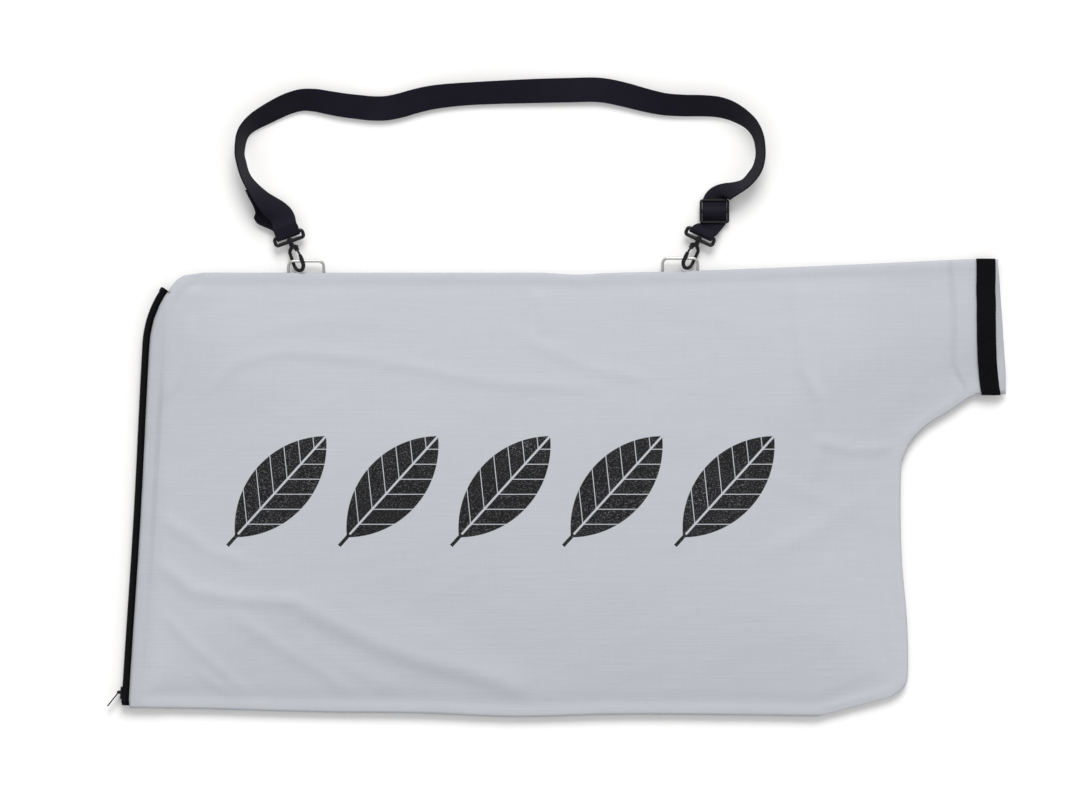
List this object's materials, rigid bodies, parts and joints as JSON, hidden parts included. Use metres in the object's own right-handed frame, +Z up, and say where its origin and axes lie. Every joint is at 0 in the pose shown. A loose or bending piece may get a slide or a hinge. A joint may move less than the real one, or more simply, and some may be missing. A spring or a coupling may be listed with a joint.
{
  "type": "blower vacuum collection bag",
  "caption": "Flat woven-cloth collection bag for a leaf blower vacuum, with a side zip, an elastic-cuffed sleeve and an adjustable shoulder strap on snap hooks and D rings.",
  "frame": {"origin": "on the underside of the back panel, in the plane that the bag lies on, at the middle of the bag's body without its sleeve", "axes": "+X from the zip's edge to the sleeve, +Y from the bag's lower edge to its strap, +Z up from the flat side to the rounded side"},
  "size_m": [0.9341, 0.6654, 0.04],
  "materials": {
    "grey_cloth": "woven, coated",
    "black_cloth": "woven",
    "black_plastic": "satin",
    "black_metal": "glossy black",
    "nickel": "polished"
  },
  "bodies": {
    "bag": {"front_panel": "grey_cloth", "back_panel": "grey_cloth", "cuff_band": "black_cloth", "zip_tape_front": "black_cloth", "zip_tape_back": "black_cloth", "zip_chain": "black_plastic", "zip_stop_front": "black_plastic", "zip_stop_back": "black_plastic", "zip_box": "black_plastic", "swivel_eye_left": "black_metal", "d_ring_left": "nickel", "ring_tab_left": "black_cloth", "swivel_eye_right": "black_metal", "d_ring_right": "nickel", "ring_tab_right": "black_cloth", "slide_adjuster": "black_plastic", "strap": "black_cloth"},
    "zip_slider": {"zip_slider": "black_metal"},
    "zip_pull_tab": {"zip_pull_tab": "black_metal"},
    "hook_left": {"hook_body_left": "black_metal", "gate_pin_left": "black_metal"},
    "gate_left": {"hook_gate_left": "black_metal"},
    "hook_right": {"hook_body_right": "black_metal", "gate_pin_right": "black_metal"},
    "gate_right": {"hook_gate_right": "black_metal"}
  },
  "joints": [
    {"name": "zip_slide", "type": "slide", "parent": "bag", "child": "zip_slider", "axis": [0.058, 0.9983, 0], "range_m": [0, 0.354], "deforming": ["zip_chain"]},
    {"name": "pull_tab", "type": "hinge", "parent": "zip_slider", "child": "zip_pull_tab", "pos_m": [-0.41878, -0.2086, 0.00855], "axis": [0, 0, -1], "range_deg": [-30, 135]},
    {"name": "hook_swivel_left", "type": "hinge", "parent": "bag", "child": "hook_left", "pos_m": [-0.2396, 0.2617, 0.0098], "axis": [0.342, -0.9397, 0], "range_deg": [-3, 99]},
    {"name": "hook_gate_left", "type": "hinge", "parent": "hook_left", "child": "gate_left", "pos_m": [-0.2341, 0.25572, 0.01261], "axis": [0.6288, 0.2289, -0.7431], "range_deg": [0, 22], "stiffness_Nm_per_rad": 0.02, "springref_deg": -17.19},
    {"name": "hook_swivel_right", "type": "hinge", "parent": "bag", "child": "hook_right", "pos_m": [0.1863, 0.26336, 0.0098], "axis": [-0.4226, -0.9063, 0], "range_deg": [-99, 3]},
    {"name": "hook_gate_right", "type": "hinge", "parent": "hook_right", "child": "gate_right", "pos_m": [0.1803, 0.25788, 0.01261], "axis": [0.6064, -0.2828, 0.7431], "range_deg": [0, 22], "stiffness_Nm_per_rad": 0.02, "springref_deg": -17.19}
  ]
}
